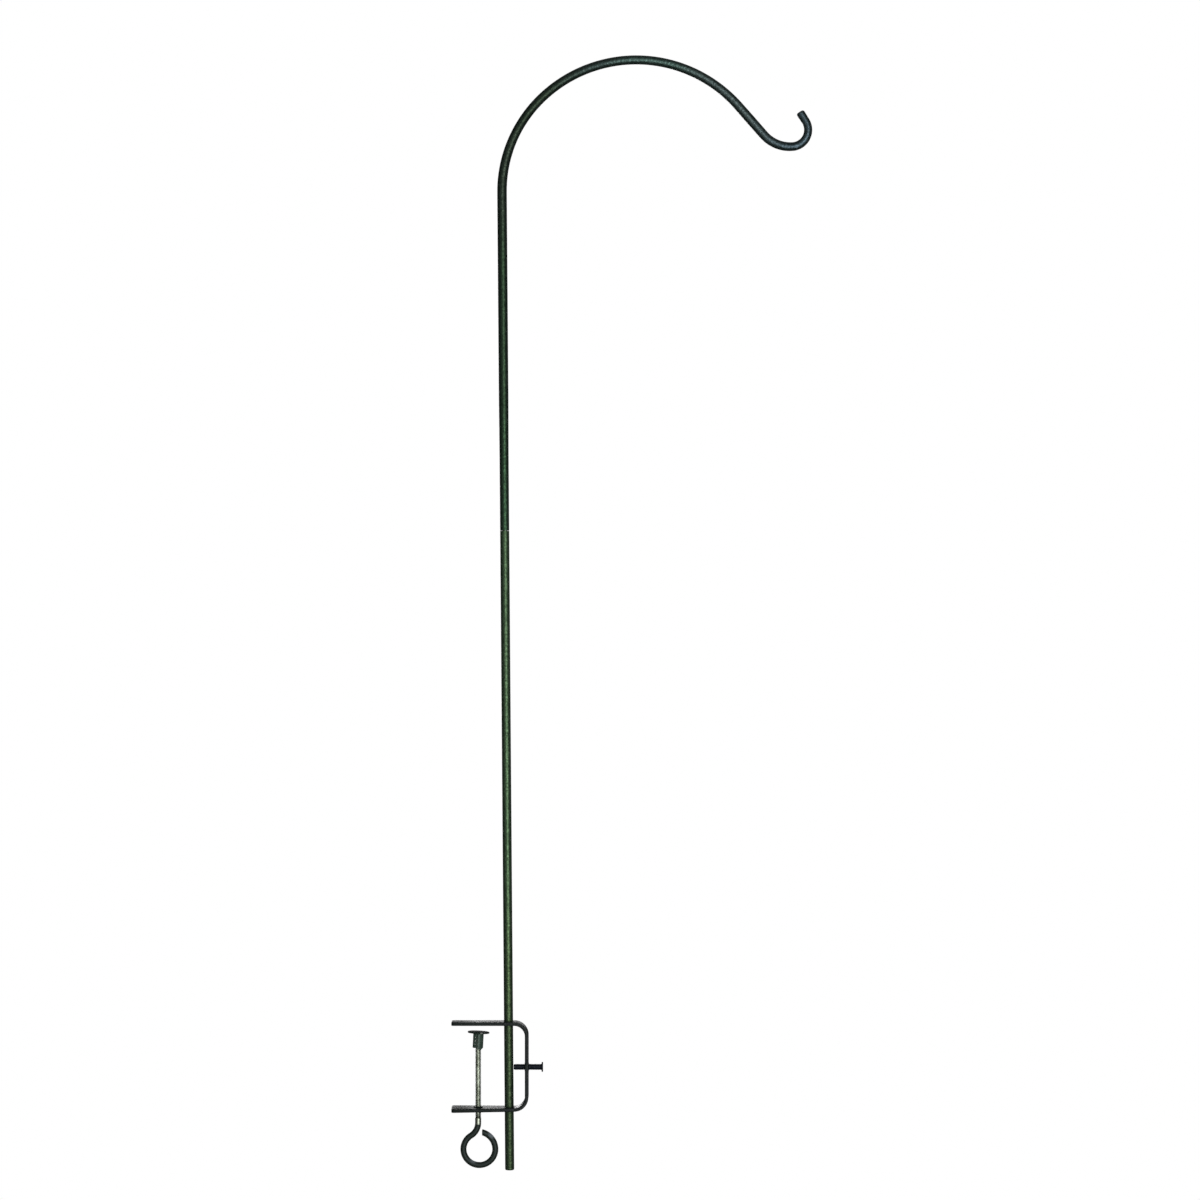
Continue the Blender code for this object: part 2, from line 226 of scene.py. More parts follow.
left, right, near, far, low, high = -2.2, 2.5, -2.6, 3.2, -1.0, 2.9
gap_left, gap_right, gap_low, gap_high = -0.75, 0.75, 0.10, 1.10
behind_camera = -5.8
for name, x, tone in (("left_card", left, 0.05), ("right_card", right, 0.06)):
    card(name, [(x, near, low), (x, far, low), (x, far, high), (x, near, high)], tone)
for name, z, tone in (("top_card", high, 0.05), ("low_card", low, 0.04)):
    card(name, [(left, near, z), (right, near, z), (right, far, z), (left, far, z)], tone)
across_the_view = [
    ("near_card", behind_camera, left - 1, right + 1, low, high, 0.05),
    ("far_card_1", far, left, gap_left, low, high, 0.06),
    ("far_card_2", far, gap_right, right, low, high, 0.06),
    ("far_card_3", far, gap_left, gap_right, low, gap_low, 0.06),
    ("far_card_4", far, gap_left, gap_right, gap_high, high, 0.06),
]
for name, y, x0, x1, z0, z1, tone in across_the_view:
    card(name, [(x0, y, z0), (x1, y, z0), (x1, y, z1), (x0, y, z1)], tone)

# %% [markdown]
# ## The camera
#
# The view is level and square on to the flat of the crook, from four and a half metres away at
# about the middle of the hook's height. The upper faces of the clamp's arms show as thin strips
# because the clamp is below that level.

# %% The camera
camera_place = Vector((0.1277, -4.5, 0.4452))
picture_side = 1200
metres_per_pixel = 0.001048

lens = bpy.data.cameras.new("camera")
lens.sensor_width = 36.0
lens.lens = lens.sensor_width * -camera_place.y / (picture_side * metres_per_pixel)
camera = bpy.data.objects.new("camera", lens)
camera.location = camera_place
camera.rotation_euler = (math.pi / 2, 0.0, 0.0)
bpy.context.scene.collection.objects.link(camera)
bpy.context.scene.camera = camera
print(f"lens: {lens.lens:.1f} mm")

# %% [markdown]
# ## Hammered paint
#
# The bar is coated with a tough satin paint, so dark that its green shows only where it is lit.
# It dries with a fine hammered grain, a millimetre or two across, which breaks the band of light
# into specks. A flat dark colour would look like plastic. Here small dents tilt the surface, the
# gloss varies with the grain, and slow clouds of tone run over it as they do on sprayed work.
# The tint of the sheen drifts along the bar, from a warm green low down to a cool one at the
# hook. Where the paint has rubbed off, the steel shows through in ragged spots.

# %% Steps that the materials share
most_of_noise = (0.3, 0.7)
middle_of_noise = (0.35, 0.65)
spot_heart = 0.25


def start_material(name):
    """A new material with one Principled shader, and the piece's own coordinates."""
    material = bpy.data.materials.new(name)
    material.use_nodes = True
    tree = material.node_tree
    place = add_node(tree, "ShaderNodeTexCoord").outputs["Object"]
    print("material:", name)
    return material, tree, tree.nodes["Principled BSDF"], place


def noise(tree, place, size, detail=2.0):
    """Soft noise with features about as large as size, in metres."""
    values = {"Vector": place, "Scale": 1.0 / size, "Detail": detail}
    return add_node(tree, "ShaderNodeTexNoise", values).outputs[0]


def spread(tree, value, low, high, start=0.0, end=1.0):
    """Stretch a value from start..end to low..high, and keep it there."""
    values = {"Value": value, "From Min": start, "From Max": end, "To Min": low, "To Max": high}
    return add_node(tree, "ShaderNodeMapRange", values).outputs[0]


def blend(tree, share, one, other):
    """Mix two colours by a share from 0 to 1."""
    return add_node(tree, "ShaderNodeMix", {0: share, 6: one, 7: other}, data_type="RGBA").outputs[2]


def bumps(tree, strength, depth, height):
    """Normals that follow a height, as deep as depth in metres."""
    values = {"Strength": strength, "Distance": depth, "Height": height}
    return add_node(tree, "ShaderNodeBump", values).outputs[0]


def near_spot(tree, place, spot, size):
    """1 in the heart of a spot on the piece, falling to 0 at a distance of size."""
    away = add_node(tree, "ShaderNodeVectorMath", {0: place, 1: spot}, operation="DISTANCE")
    return spread(tree, away.outputs["Value"], 1.0, 0.0, spot_heart * size, size)


# %% The paint
steel_tone = (0.34, 0.35, 0.33, 1.0)
grain_size, cell_size, cloud_size, ragged_size = 0.0017, 0.0026, 0.030, 0.0006
grain_share, cloud_share = 0.6, 0.4
cell_depth, dent_strength = 1.3, 0.9
gloss_swing = 0.12
worn_detail, worn_edge = 4.0, (0.42, 0.52)


def worn_through(tree, place, spots):
    """1 where the paint is gone, which is a ragged patch at each spot of (place, size)."""
    ragged = calc(tree, "ADD", noise(tree, place, ragged_size, worn_detail), 0.5)
    bare = 0.0
    for spot, size in spots:
        reached = calc(tree, "MULTIPLY", near_spot(tree, place, spot, size), ragged)
        bare = calc(tree, "MAXIMUM", bare, spread(tree, reached, 0.0, 1.0, *worn_edge))
    return bare


def paint(name, dark, light, tint, gloss, roughness, dent=0.00026, spots=(), drift=(), dull=None):
    """Hammered satin paint, rubbed down to the steel at the given spots of (place, size).

    Each drift of (axis, tint, start, end) takes its sheen to another tint along that axis, and
    a dull of (extra roughness, start, end) lets its gloss come back along X.
    """
    material, tree, shader, place = start_material(name)
    along = add_node(tree, "ShaderNodeSeparateXYZ", {0: place}).outputs
    grain = noise(tree, place, grain_size)
    cloud = calc(tree, "MULTIPLY", noise(tree, place, cloud_size), cloud_share)
    mottle = calc(tree, "MULTIPLY_ADD", grain, grain_share, cloud)
    colour = blend(tree, spread(tree, mottle, 0.0, 1.0, *middle_of_noise), (*dark, 1.0), (*light, 1.0))
    rough = spread(tree, grain, roughness - gloss_swing, roughness + gloss_swing, *most_of_noise)
    if dull:
        extra, start, end = dull
        rough = calc(tree, "ADD", rough, spread(tree, along["X"], extra, 0.0, start, end))
    if spots:
        bare = worn_through(tree, place, spots)
        colour = blend(tree, bare, colour, steel_tone)
        fill(tree, shader, {"Metallic": bare})
    cells = {"Vector": place, "Scale": 1.0 / cell_size}
    dents = add_node(tree, "ShaderNodeTexVoronoi", cells, feature="SMOOTH_F1").outputs["Distance"]
    height = calc(tree, "MULTIPLY_ADD", dents, cell_depth, grain)
    sheen = (*tint, 1.0)
    surface = {
        "Base Color": colour,
        "Roughness": rough,
        "Normal": bumps(tree, dent_strength, dent, height),
        "Specular IOR Level": gloss,
        "Specular Tint": sheen,
    }
    fill(tree, shader, surface)
    for axis, far_tint, start, end in drift:
        reached = spread(tree, along[axis], 0.0, 1.0, start, end)
        sheen = blend(tree, reached, sheen, (*far_tint, 1.0))
    if drift:
        fill(tree, shader, {"Specular Tint": sheen})
    return material


# %% One mix of paint for each part
lower_paint = paint(
    "lower_pole_paint",
    (0.007, 0.012, 0.008),
    (0.016, 0.026, 0.015),
    (0.58, 1.0, 0.52),
    1.0,
    0.40,
    drift=[("Z", (0.53, 0.84, 0.38), 0.16, 0.06), ("Z", (0.41, 0.63, 0.30), 0.045, -0.015)],
)
crook_paint = paint(
    "crook_paint",
    (0.003, 0.006, 0.004),
    (0.010, 0.015, 0.012),
    (0.29, 0.64, 0.33),
    0.95,
    0.40,
    drift=[
        ("Z", (0.26, 0.49, 0.26), 0.58, 0.66),
        ("Z", (0.29, 0.39, 0.28), 0.80, 0.86),
        ("X", (0.21, 0.31, 0.20), 0.031, 0.045),
        ("X", (0.34, 0.50, 0.48), 0.070, 0.125),
        ("X", (0.60, 1.0, 0.88), 0.132, 0.165),
        ("X", (0.75, 1.0, 1.0), 0.205, 0.240),
        ("X", (0.54, 0.78, 0.94), 0.285, 0.325),
    ],
)
clamp_paint = paint(
    "clamp_paint",
    (0.005, 0.008, 0.007),
    (0.012, 0.017, 0.014),
    (0.94, 0.92, 1.0),
    0.10,
    0.34,
    dent=0.00010,
    dull=(0.20, -0.016, -0.002),
)

# %% [markdown]
# ## Pieces that follow a rule
#
# The crook, the screws and the knurled head all follow a rule: a section goes along a path, a
# ridge climbs round a rod, a rib repeats round a rim. Such pieces are made with Geometry Nodes,
# because the rule stays in view as a tree with named sizes. When a tree has run, its result is
# kept as a plain mesh that belongs to the piece, and the tree's modifier goes.

# %% Helpers for geometry trees
float_kind, count_kind, material_kind = "NodeSocketFloat", "NodeSocketInt", "NodeSocketMaterial"


def new_tree(name, sizes):
    """A geometry tree with one input for each named size, and its input node's outputs."""
    tree = bpy.data.node_groups.new(name, "GeometryNodeTree")
    tree.interface.new_socket("Geometry", in_out="INPUT", socket_type="NodeSocketGeometry")
    for label, kind in sizes.items():
        tree.interface.new_socket(label, in_out="INPUT", socket_type=kind)
    tree.interface.new_socket("Geometry", in_out="OUTPUT", socket_type="NodeSocketGeometry")
    return tree, add_node(tree, "NodeGroupInput").outputs


def end_tree(tree, geometry, material):
    """Every tree ends alike: real faces instead of instances, and a material."""
    real = add_node(tree, "GeometryNodeRealizeInstances", {"Geometry": geometry}).outputs[0]
    finished = add_node(tree, "GeometryNodeSetMaterial", {"Geometry": real, "Material": material})
    add_node(tree, "NodeGroupOutput", {"Geometry": finished.outputs[0]})
    print(f"tree {tree.name}: {len(tree.nodes)} nodes")


def run_tree(name, tree, sizes, start=None):
    """Run a tree on a start mesh with the named sizes, and keep the result as a plain mesh."""
    carrier = bpy.data.objects.new(name, start or bpy.data.meshes.new(name + "_start"))
    bpy.context.scene.collection.objects.link(carrier)
    modifier = carrier.modifiers.new("rule", "NODES")
    modifier.node_group = tree
    for socket in tree.interface.items_tree:
        if socket.in_out == "INPUT" and socket.name in sizes:
            modifier[socket.identifier] = sizes[socket.name]
    solved = carrier.evaluated_get(bpy.context.evaluated_depsgraph_get())
    mesh = bpy.data.meshes.new_from_object(solved)
    carrier.modifiers.remove(modifier)
    bpy.data.objects.remove(carrier)
    return mesh


# %% From plain meshes to a finished piece
def moved(mesh, matrix):
    """The mesh, moved by a matrix."""
    mesh.transform(matrix)
    return mesh


def place_piece(name, meshes, sharp=math.radians(35.0), to_place=None):
    """Join plain meshes into one finished piece, with its place in the mesh."""
    bm = bmesh.new()
    for mesh in meshes:
        bm.from_mesh(mesh)
    if to_place:
        bmesh.ops.transform(bm, matrix=to_place, verts=bm.verts)
    bmesh.ops.recalc_face_normals(bm, faces=bm.faces)
    joined = bpy.data.meshes.new(name)
    bm.to_mesh(joined)
    bm.free()
    joined.materials.append(meshes[0].materials[0])
    joined.shade_smooth()
    joined.set_sharp_from_angle(angle=sharp)
    piece = bpy.data.objects.new(name, joined)
    bpy.context.scene.collection.objects.link(piece)
    corners = (piece.bound_box[0], piece.bound_box[6])
    reach = [[round(1000 * value, 2) for value in corner] for corner in corners]
    print(f"{name}: {len(joined.polygons)} faces, {reach} mm")
    return piece


# %% [markdown]
# ## A bent bar
#
# A bar is bent cold over round formers, so its middle line is made of straight runs and arcs, and
# that line is all there is to know about it. The path is walked in short steps, as the bender
# would feed it. Each point also carries the bar's thickness there, because a bar that is bent by
# hand isn't even: it thins a little in a tight bend. The tree sweeps a circle along the path and
# rounds both ends over.

# %% Walk a bar's middle line
quarter = math.pi / 2
run_step = 0.02
turn_step, fine_turn_step = math.radians(4.0), math.radians(2.0)


def bent_path(start, heading, moves, step=turn_step):
    """Points along a bar in the XZ plane. A move is a length, or a former's radius and an angle."""
    points = [start.copy()]
    for move in moves:
        if isinstance(move, float):
            pieces = max(1, round(move / run_step))
            points += [points[-1] + heading * (move * k / pieces) for k in range(1, pieces + 1)]
            continue
        radius, angle = move
        centre = points[-1] + Vector((0.0, 1.0, 0.0)).cross(heading) * math.copysign(radius, angle)
        arm = points[-1] - centre
        pieces = math.ceil(abs(angle) / step)
        turns = [Matrix.Rotation(angle * k / pieces, 3, "Y") for k in range(1, pieces + 1)]
        points += [centre + turn @ arm for turn in turns]
        heading = turns[-1] @ heading
    return points


def fine_ends(points, start_round, end_round, count=6):
    """Add points close to both ends, so that their rounding has something to follow."""
    shares = [1 - math.cos(quarter * k / count) for k in range(1, count + 1)]
    first, last = points[0], points[-1]
    out, back = (points[1] - first).normalized(), (points[-2] - last).normalized()
    opening = [first + out * start_round * share for share in shares]
    closing = [last + back * end_round * share for share in reversed(shares)]
    inner = [
        point
        for point in points[1:-1]
        if (point - first).length > start_round and (point - last).length > end_round
    ]
    return [first, *opening, *inner, *closing, last]


def path_mesh(name, points, thickness):
    """A line of edges through the points, with the bar's relative thickness at each."""
    mesh = bpy.data.meshes.new(name)
    mesh.from_pydata(points, [(k, k + 1) for k in range(len(points) - 1)], [])
    layer = mesh.attributes.new("thickness", "FLOAT", "POINT")
    layer.data.foreach_set("value", [thickness(point) for point in points])
    return mesh


# %% The tree that sweeps it
bar_tree, bar_sizes = new_tree(
    "bent_bar",
    {
        "Radius": float_kind,
        "Sides": count_kind,
        "Start Round": float_kind,
        "End Round": float_kind,
        "Material": material_kind,
    },
)
line = add_node(bar_tree, "GeometryNodeMeshToCurve", {0: bar_sizes["Geometry"]}).outputs[0]
gone = add_node(bar_tree, "GeometryNodeSplineParameter").outputs["Length"]
whole = add_node(bar_tree, "GeometryNodeSplineLength").outputs["Length"]
left_over = calc(bar_tree, "SUBTRACT", whole, gone)


def rounded_end(distance, rounding):
    """How much of the radius is left at a distance from an end that is rounded over."""
    share = calc(bar_tree, "MINIMUM", calc(bar_tree, "DIVIDE", distance, rounding), 1.0)
    short = calc(bar_tree, "SUBTRACT", 1.0, share)
    squared = calc(bar_tree, "SUBTRACT", 1.0, calc(bar_tree, "MULTIPLY", short, short))
    drop = calc(bar_tree, "SUBTRACT", 1.0, calc(bar_tree, "SQRT", squared))
    lost = calc(bar_tree, "MULTIPLY", drop, calc(bar_tree, "DIVIDE", rounding, bar_sizes["Radius"]))
    return calc(bar_tree, "SUBTRACT", 1.0, lost)


start_left = rounded_end(gone, bar_sizes["Start Round"])
end_left = rounded_end(left_over, bar_sizes["End Round"])
ends = calc(bar_tree, "MINIMUM", start_left, end_left)
uneven = add_node(
    bar_tree, "GeometryNodeInputNamedAttribute", {"Name": "thickness"}, data_type="FLOAT"
).outputs["Attribute"]
circle = add_node(
    bar_tree,
    "GeometryNodeCurvePrimitiveCircle",
    {"Resolution": bar_sizes["Sides"], "Radius": bar_sizes["Radius"]},
)
swept = add_node(
    bar_tree,
    "GeometryNodeCurveToMesh",
    {
        "Curve": line,
        "Profile Curve": circle.outputs[0],
        "Scale": calc(bar_tree, "MULTIPLY", ends, uneven),
        "Fill Caps": True,
    },
)
end_tree(bar_tree, swept.outputs[0], bar_sizes["Material"])


# %% Sweep a bar, and bore its end
def swept_bar(name, points, radius, sides, rounds, material, thickness=lambda point: 1.0):
    """A round bar along the points, its ends rounded over by the two rounds, as a plain mesh."""
    sizes = {
        "Radius": radius,
        "Sides": sides,
        "Start Round": rounds[0],
        "End Round": rounds[1],
        "Material": material,
    }
    return run_tree(name, bar_tree, sizes, path_mesh(name, fine_ends(points, *rounds), thickness))


def bored(mesh, radius, rise):
    """The bar with a blind bore that rises from its lowest flat end, or falls from its highest."""
    bm = bmesh.new()
    bm.from_mesh(mesh)
    flat_ends = [face for face in bm.faces if len(face.verts) > 4]
    end = (min if rise > 0 else max)(flat_ends, key=lambda face: face.calc_center_median().z)
    centre = end.calc_center_median()
    # The inset only makes the new ring. Its points then go to the bore's own radius.
    bmesh.ops.inset_individual(bm, faces=[end], thickness=radius / 2)
    for vertex in end.verts:
        vertex.co = centre + (vertex.co - centre).normalized() * radius
    pushed = bmesh.ops.extrude_discrete_faces(bm, faces=[end])["faces"][0]
    bmesh.ops.translate(bm, verts=pushed.verts, vec=(0.0, 0.0, rise))
    bm.to_mesh(mesh)
    bm.free()
    return mesh


# %% [markdown]
# ## The pole
#
# The pole comes in two sections, so that it packs short. The lower one is a straight bar with a
# blunt foot. The crook is the upper one. It runs straight up out of the joint, swings over in
# two wide bends, comes down a short slope and curls up into the hook that the basket hangs on.
# It stands on the pole's own axis, which leans by less than half a degree, so its path is walked
# upright and then leaned over as a whole. Each section has a blind bore at the joint, where the
# stud that holds the two together stands.

# %% The pole's axis and sizes
joints = {joint["name"]: joint for joint in frame["record"]["behaviour"]["joints"]}
axis_point = Vector(joints["hook_swivel"]["pos_m"])
axis_lean = Vector((0.0, 0.0, 1.0)).rotation_difference(Vector(joints["hook_swivel"]["axis"]))
on_pole_axis = Matrix.Translation(axis_point) @ axis_lean.to_matrix().to_4x4()

bar_radius = 0.0047625
bar_sides = 40
joint_height, joint_gap = 0.56065, 0.0003
joint_edge = 0.0002
bore_radius, bore_depth = 0.0027, 0.0150
print(f"the pole leans by {math.degrees(axis_lean.angle):.2f} degrees")

# %% The crook
crook_moves = [
    0.3548,  # straight up out of the joint
    (0.1352, math.radians(44.75)),  # over, in the first wide bend
    (0.1428, math.radians(94.4)),  # and down, in the second
    0.0398,  # the slope
    (0.0367, math.radians(-53.4)),  # out of the slope
    (0.0175, math.radians(-118.0)),  # round the hook
    0.0112,  # the hook's straight tip
]
tip_round = 0.0024
slope_middle, slope_full, slope_reach = Vector((0.2604, 0.0, 0.9854)), 0.05, 0.030
hook_side, hook_thin, hook_reach = Vector((0.3212, 0.0, 0.9776)), 0.10, 0.024
straight_low, straight_high, straight_full, straight_reach = 0.640, 0.985, 0.056, 0.06
straight_side = 0.02


def crook_thickness(point):
    """The bar's evenness: full on the straight run and the slope, and thinner beside the hook."""
    full = math.exp(-(((point - slope_middle).length / slope_reach) ** 2))
    thin = math.exp(-(((point - hook_side).length / hook_reach) ** 2))
    rising = min(1.0, max(0.0, (point.z - straight_low) / straight_reach))
    falling = min(1.0, max(0.0, (straight_high - point.z) / straight_reach))
    straight = rising * falling if point.x < straight_side else 0.0
    return 1.0 + straight_full * straight + slope_full * full - hook_thin * thin


crook_start = Vector((0.0, 0.0, joint_height + joint_gap))
crook_points = bent_path(crook_start, Vector((0.0, 0.0, 1.0)), crook_moves, fine_turn_step)
crook_mesh = swept_bar(
    "crook", crook_points, bar_radius, bar_sides, (joint_edge, tip_round), crook_paint, crook_thickness
)
crook_mesh = bored(crook_mesh, bore_radius, bore_depth)
crook = place_piece("crook_bar", [crook_mesh], to_place=on_pole_axis)

# %% The lower section of the pole
pole_foot = -0.10915
foot_round = 0.0016
lower_points = [Vector((0.0, 0.0, height)) for height in (pole_foot, 0.0, 0.25, joint_height)]
lower_mesh = swept_bar(
    "lower_pole", lower_points, bar_radius, bar_sides, (foot_round, joint_edge), lower_paint
)
lower_mesh = bored(lower_mesh, bore_radius, -bore_depth)
lower_pole = place_piece("lower_pole_bar", [lower_mesh], to_place=on_pole_axis)

# %% [markdown]
# ## Screw threads
#
# Both screws are common quarter-inch ones with twenty threads to the inch. Seen close, a thread
# is one ridge that climbs round a core, 1.27 mm higher at each turn, with flanks at sixty degrees
# to each other. Painted lines would look flat and would not climb. Here a wedge is swept along a
# spiral and sunk a little into the core, and it shrinks to nothing at both ends, as a cut thread
# runs out. The same tree turned inside out makes the thread in the clamp's drawn hole.

# %% A ridge that climbs a spiral
pitch = 0.00127
screw_radius = 0.003175
thread_depth = 0.00070
crest = pitch / 8
flank = math.tan(math.radians(30.0))
sunk = 0.00006
steps_in_a_turn = 24
run_out_turns, run_out_least = 0.75, 0.02

ridge_tree, ridge_sizes = new_tree(
    "thread_ridge",
    {
        "Root Radius": float_kind,
        "Depth": float_kind,
        "Root Width": float_kind,
        "Crest Width": float_kind,
        "Turns": float_kind,
        "Pitch": float_kind,
        "Steps": count_kind,
        "Material": material_kind,
    },
)
spiral = add_node(
    ridge_tree,
    "GeometryNodeCurveSpiral",
    {
        "Resolution": ridge_sizes["Steps"],
        "Rotations": ridge_sizes["Turns"],
        "Start Radius": ridge_sizes["Root Radius"],
        "End Radius": ridge_sizes["Root Radius"],
        "Height": calc(ridge_tree, "MULTIPLY", ridge_sizes["Turns"], ridge_sizes["Pitch"]),
        "Reverse": True,
    },
)
level = add_node(ridge_tree, "GeometryNodeSetCurveNormal", {"Curve": spiral.outputs[0]}, mode="Z_UP")


def corner(width, side, out):
    """One corner of the ridge's section, out from the core and to one side along the rod."""
    across = calc(ridge_tree, "MULTIPLY", width, 0.5 * side)
    return add_node(ridge_tree, "ShaderNodeCombineXYZ", {"X": out, "Y": across}).outputs[0]


wedge = add_node(
    ridge_tree,
    "GeometryNodeCurvePrimitiveQuadrilateral",
    {
        "Point 1": corner(ridge_sizes["Root Width"], -1.0, 0.0),
        "Point 2": corner(ridge_sizes["Crest Width"], -1.0, ridge_sizes["Depth"]),
        "Point 3": corner(ridge_sizes["Crest Width"], 1.0, ridge_sizes["Depth"]),
        "Point 4": corner(ridge_sizes["Root Width"], 1.0, 0.0),
    },
    mode="POINTS",
)
climbed = add_node(ridge_tree, "GeometryNodeSplineParameter").outputs["Factor"]
turn = calc(ridge_tree, "MULTIPLY", climbed, ridge_sizes["Turns"])
to_go = calc(ridge_tree, "SUBTRACT", ridge_sizes["Turns"], turn)
rising = calc(ridge_tree, "DIVIDE", turn, run_out_turns)
falling = calc(ridge_tree, "DIVIDE", to_go, run_out_turns)
full = calc(ridge_tree, "MINIMUM", calc(ridge_tree, "MINIMUM", rising, falling), 1.0)
ridge = add_node(
    ridge_tree,
    "GeometryNodeCurveToMesh",
    {
        "Curve": level.outputs[0],
        "Profile Curve": wedge.outputs[0],
        "Scale": calc(ridge_tree, "MAXIMUM", full, run_out_least),
        "Fill Caps": True,
    },
)
end_tree(ridge_tree, ridge.outputs[0], ridge_sizes["Material"])


# %% Run it for one thread
def thread(name, root, depth, turns, start, material, root_width=None, crest_width=crest):
    """A thread's ridge round Z, from the start's height up. A negative depth points inwards."""
    sizes = {
        "Root Radius": root,
        "Depth": depth,
        "Root Width": root_width or crest_width + 2 * abs(depth) * flank,
        "Crest Width": crest_width,
        "Turns": turns,
        "Pitch": pitch,
        "Steps": steps_in_a_turn,
        "Material": material,
    }
    return moved(run_tree(name, ridge_tree, sizes), Matrix.Translation((0.0, 0.0, start)))


# %% [markdown]
# ## The clamp screw
#
# The clamp screw is a rod of the same wire all the way down: thread above, a short bright neck
# that was left bare, then the eye that is turned by hand. The eye is the same rod bent over once
# and then round almost a full turn, so it is a bent bar with a path like the crook's, bent a
# little too far and then sawn off upright. The thread is its core and its ridge, and the phase
# of the ridge is kept so that the hole's thread can mesh.

# %% The screw's finish
paint_edge, paint_blur = -0.1040, 0.0003
bare_edge, bare_blur = -0.0977, 0.0005
# Where the zinc is darkened, from just under the clamp's arm down to the bare neck, and how far.
darkened_from, most_darkened = -0.0910, 0.97
edge_size, edge_shift = 0.0022, 0.0009
spotted_size, spotted_share, spotted_edge = 0.005, 0.6, (0.40, 0.62)
zinc_tone, spotted_tone, darkened_tone = (0.66, 0.70, 0.60), (0.16, 0.19, 0.12), (0.035, 0.045, 0.022)
neck_tone, painted_highlight_tone = (0.33, 0.36, 0.29), (0.22, 0.25, 0.27)
black_tone, faded_tone = (0.009, 0.013, 0.009), (0.017, 0.023, 0.018)
# Two pale blue-grey patches on the eye are painted highlights: one outside its upper right bend, one
# inside its lower left.
painted_highlight_spots = [(0.0158, -0.0015, -0.1134), (-0.0037, -0.0015, -0.1393)]
painted_highlight_size = 0.0062
black_size, gloss_size, scratch_size, scratch_depth = 0.0011, 0.0009, 0.0008, 0.00003
screw_gloss, zinc_dulled = (0.36, 0.50), 0.05


def screw_finish():
    """Dull zinc on the thread, a bright neck, then black paint, with two pale grey patches painted on
    the eye as highlights.
    """
    material, tree, shader, place = start_material("screw_finish")
    height = add_node(tree, "ShaderNodeSeparateXYZ", {0: place}).outputs["Z"]
    ragged = spread(tree, noise(tree, place, edge_size, 3.0), -edge_shift, edge_shift)
    level = calc(tree, "ADD", height, ragged)
    painted = spread(tree, level, 1.0, 0.0, paint_edge - paint_blur, paint_edge + paint_blur)
    dull = spread(tree, level, 0.0, 1.0, bare_edge - bare_blur, bare_edge + bare_blur)
    spotted = spread(tree, noise(tree, place, spotted_size, 4.0), 0.0, 1.0, *spotted_edge)
    spotted = calc(tree, "MULTIPLY", spotted, spotted_share)
    zinc = blend(tree, spotted, (*zinc_tone, 1.0), (*spotted_tone, 1.0))
    # Just under the clamp's lower arm the zinc is darkened almost to black, down to the bare neck.
    darkened = spread(tree, level, most_darkened, 0.0, bare_edge, darkened_from)
    zinc = blend(tree, darkened, zinc, (*darkened_tone, 1.0))
    metal = blend(tree, dull, (*neck_tone, 1.0), zinc)
    black = blend(tree, noise(tree, place, black_size), (*black_tone, 1.0), (*faded_tone, 1.0))
    # Lighter patches painted into the black at these spots stand in for highlights.
    for spot in painted_highlight_spots:
        black = blend(tree, near_spot(tree, place, spot, painted_highlight_size), black, (*painted_highlight_tone, 1.0))
    grain = spread(tree, noise(tree, place, gloss_size), *screw_gloss, *most_of_noise)
    surface = {
        "Base Color": blend(tree, painted, metal, black),
        "Metallic": calc(tree, "SUBTRACT", 1.0, painted),
        "Roughness": calc(tree, "MULTIPLY_ADD", dull, zinc_dulled, grain),
        "Normal": bumps(tree, 0.5, scratch_depth, noise(tree, place, scratch_size, 4.0)),
        "Specular IOR Level": 0.20,
        "Specular Tint": (0.80, 0.93, 1.0, 1.0),
    }
    fill(tree, shader, surface)
    return material


zinc_and_paint = screw_finish()

# %% The thread's core and ridge
core_radius = screw_radius - thread_depth
core_sides = 32
screw_top, thread_top, core_middle, thread_foot = -0.0121, -0.0126, -0.05, -0.0985
core_rounds = (0.0006, 0.0002)

core_points = [Vector((0.0, 0.0, height)) for height in (screw_top, core_middle, thread_foot)]
core = swept_bar("screw_core", core_points, core_radius, core_sides, core_rounds, zinc_and_paint)
thread_turns = (thread_top - thread_foot) / pitch
ridge_mesh = thread(
    "screw_ridge", core_radius - sunk, thread_depth + sunk, thread_turns, thread_foot, zinc_and_paint
)
print(f"thread: {thread_turns:.1f} turns")

# %% The neck and the eye
down = Vector((0.0, 0.0, -1.0))
neck_top, neck_start = thread_foot + 0.0012, -0.1026
neck_radius, eye_radius, eye_offset = 0.0158, 0.0167, 0.0013
open_radius, open_bend = 0.0184, math.radians(64.6)
lean_in = math.acos((eye_offset + neck_radius) / (neck_radius + eye_radius))
# Three quarters of a turn would bring the bar level again. The real eye stops a little sooner.
short_of_level = math.radians(19.7)
round_the_eye = 3 * quarter - short_of_level + lean_in
spare_bend = math.radians(7.0)
eye_sides = 36
eye_rounds = (0.0007, 0.0002)

eye_moves = [
    neck_top - neck_start,  # straight down the neck
    (neck_radius, lean_in),  # aside, to bring the eye under the screw
    (eye_radius, open_bend - round_the_eye),  # back round the eye
    (open_radius, -open_bend - spare_bend),  # and a little wider at its open end
]
eye_points = bent_path(Vector((0.0, 0.0, neck_top)), down, eye_moves)
eye_mesh = swept_bar("screw_eye", eye_points, screw_radius, eye_sides, eye_rounds, zinc_and_paint)
print(f"the eye is bent round by {math.degrees(round_the_eye):.0f} degrees")

# %% Saw the eye's end off upright
saw_place, saw_rings = 0.0041, 13


